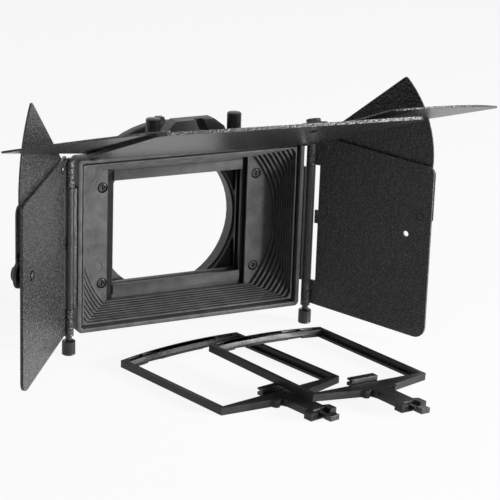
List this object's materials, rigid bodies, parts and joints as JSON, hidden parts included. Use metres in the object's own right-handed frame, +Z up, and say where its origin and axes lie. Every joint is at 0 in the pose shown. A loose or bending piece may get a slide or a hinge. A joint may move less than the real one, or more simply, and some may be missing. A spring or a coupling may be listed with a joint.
{
  "type": "matte box",
  "caption": "Matte box for a camera lens: stepped hood on a filter stage and lens ring, folding side and top flags with swing-out wings, and loose filter trays with sprung latches.",
  "frame": {"origin": "middle of the base, on the table the knobs and the lower tray stand on", "axes": "the lens looks along -Y out of the hood, +Z is up, +X is to the right as seen from the front"},
  "size_m": [0.2808, 0.2052, 0.1543],
  "materials": {
    "stage_plastic": "fine matt black",
    "knob_metal": "black coated, toothed grip",
    "hinge_steel": "satin black coat",
    "pin_steel": "blackened steel",
    "hood_plastic": "fine matt black",
    "screw_steel": "black coated steel",
    "latch_plastic": "satin black moulded plastic",
    "spring_steel": "bright spring wire",
    "ring_plastic": "matt black",
    "flag_coat": "black wrinkle coat on sheet metal",
    "bracket_metal": "matt black coat",
    "tray_plastic": "semi-gloss black moulded plastic"
  },
  "bodies": {
    "hood_unit": {"hood": "hood_plastic", "hood_screw_upper_left": "screw_steel", "hood_screw_upper_right": "screw_steel", "hood_screw_lower_left": "screw_steel", "hood_screw_lower_right": "screw_steel", "filter_stage": "stage_plastic", "lens_ring": "ring_plastic", "ring_screw_1": "screw_steel", "ring_screw_2": "screw_steel", "ring_screw_3": "screw_steel", "ring_screw_4": "screw_steel", "hinge_leaf_left": "hinge_steel", "leaf_screw_left_lower": "screw_steel", "leaf_screw_left_upper": "screw_steel", "hinge_pin_left": "pin_steel", "hinge_leaf_right": "hinge_steel", "leaf_screw_right_lower": "screw_steel", "leaf_screw_right_upper": "screw_steel", "hinge_pin_right": "pin_steel", "top_bracket": "bracket_metal", "top_hinge_pin": "pin_steel"},
    "clamp_screw": {"ring_clamp_screw": "knob_metal"},
    "pin_knob_left": {"hinge_knob_left": "knob_metal"},
    "pin_knob_right": {"hinge_knob_right": "knob_metal"},
    "bracket_screw_left": {"thumb_screw_left": "knob_metal"},
    "bracket_screw_right": {"thumb_screw_right": "knob_metal"},
    "flag_left": {"side_flag_left": "flag_coat", "wing_pivot_side_left": "screw_steel", "stud_side_left": "screw_steel", "wing_guide_left": "flag_coat"},
    "wing_left": {"side_wing_left": "flag_coat"},
    "nut_left": {"thumb_nut_side_left": "knob_metal"},
    "flag_right": {"side_flag_right": "flag_coat", "wing_pivot_side_right": "screw_steel", "wing_guide_right": "flag_coat"},
    "wing_right": {"side_wing_right": "flag_coat"},
    "flag_top": {"top_flag": "flag_coat", "wing_pivot_top_left": "screw_steel", "wing_pivot_top_right": "screw_steel", "stud_top_right": "screw_steel", "top_wing_washer_left": "screw_steel", "top_wing_washer_right": "screw_steel"},
    "wing_top_left": {"top_wing_left": "flag_coat"},
    "wing_top_right": {"top_wing_right": "flag_coat"},
    "nut_top_right": {"thumb_nut_top_right": "knob_metal"},
    "tray_a_body": {"tray_a": "tray_plastic", "latch_spring_a": "spring_steel"},
    "latch_a_body": {"latch_a": "latch_plastic"},
    "tray_b_body": {"tray_b": "tray_plastic", "latch_spring_b": "spring_steel"},
    "latch_b_body": {"latch_b": "latch_plastic"}
  },
  "joints": [
    {"name": "flag_left_hinge", "type": "hinge", "parent": "hood_unit", "child": "flag_left", "pos_m": [-0.07328, 0.05776, 0.0611], "axis": [0, 0, 1], "range_deg": [-100, 1.5]},
    {"name": "flag_right_hinge", "type": "hinge", "parent": "hood_unit", "child": "flag_right", "pos_m": [0.07592, 0.05776, 0.0611], "axis": [0, 0, 1], "range_deg": [0, 100]},
    {"name": "wing_left_pivot", "type": "hinge", "parent": "flag_left", "child": "wing_left", "pos_m": [-0.0783, 0.05152, 0.1076], "axis": [0.7793, -0.6266, 0], "range_deg": [-40, 28]},
    {"name": "wing_right_pivot", "type": "hinge", "parent": "flag_right", "child": "wing_right", "pos_m": [0.08053, 0.05122, 0.1076], "axis": [0.8171, 0.5764, 0], "range_deg": [-40, 28]},
    {"name": "nut_left_turn", "type": "hinge", "parent": "flag_left", "child": "nut_left", "pos_m": [-0.11126, 0.01053, 0.0641], "axis": [-0.7793, 0.6266, 0], "continuous": true},
    {"name": "flag_top_hinge", "type": "hinge", "parent": "hood_unit", "child": "flag_top", "pos_m": [0.00132, 0.06376, 0.1149], "axis": [1, 0, 0], "range_deg": [-4, 11]},
    {"name": "wing_top_left_pivot", "type": "hinge", "parent": "flag_top", "child": "wing_top_left", "pos_m": [-0.06356, 0.04767, 0.11664], "axis": [-0.0157, 0.3167, 0.9484], "range_deg": [-1.5, 18]},
    {"name": "wing_top_right_pivot", "type": "hinge", "parent": "flag_top", "child": "wing_top_right", "pos_m": [0.06643, 0.04777, 0.11477], "axis": [0.0016, 0.3399, 0.9405], "range_deg": [-13, 1]},
    {"name": "nut_top_right_turn", "type": "hinge", "parent": "flag_top", "child": "nut_top_right", "pos_m": [0.02683, -0.03177, 0.13938], "axis": [0.0157, 0.3284, 0.9444], "continuous": true},
    {"name": "pin_knob_left_turn", "type": "hinge", "parent": "hood_unit", "child": "pin_knob_left", "pos_m": [-0.07328, 0.05776, 0.0611], "axis": [0, 0, 1], "continuous": true},
    {"name": "pin_knob_right_turn", "type": "hinge", "parent": "hood_unit", "child": "pin_knob_right", "pos_m": [0.07592, 0.05776, 0.0611], "axis": [0, 0, 1], "continuous": true},
    {"name": "bracket_screw_left_turn", "type": "hinge", "parent": "hood_unit", "child": "bracket_screw_left", "pos_m": [-0.02358, 0.05966, 0.0611], "axis": [0, 0, 1], "continuous": true},
    {"name": "bracket_screw_right_turn", "type": "hinge", "parent": "hood_unit", "child": "bracket_screw_right", "pos_m": [0.02622, 0.05966, 0.0611], "axis": [0, 0, 1], "continuous": true},
    {"name": "clamp_screw_turn", "type": "hinge", "parent": "hood_unit", "child": "clamp_screw", "pos_m": [0.00132, 0.09806, 0.0611], "axis": [-1, 0, 0], "continuous": true},
    {"name": "tray_a_lift", "type": "slide", "parent": "hood_unit", "child": "tray_a_body", "axis": [0, 0, 1], "range_m": [0, 0.05]},
    {"name": "tray_b_lift", "type": "slide", "parent": "tray_a_body", "child": "tray_b_body", "axis": [0, 0, 1], "range_m": [0, 0.05]},
    {"name": "latch_a_pull", "type": "slide", "parent": "tray_a_body", "child": "latch_a_body", "axis": [0.2267, -0.974, 0], "range_m": [0, 0.0022], "stiffness_N_per_m": 300, "springref_m": -0.003, "deforming": ["latch_spring_a"]},
    {"name": "latch_b_pull", "type": "slide", "parent": "tray_b_body", "child": "latch_b_body", "axis": [0.2168, -0.976, -0.0192], "range_m": [0, 0.0022], "stiffness_N_per_m": 300, "springref_m": -0.003, "deforming": ["latch_spring_b"]}
  ]
}
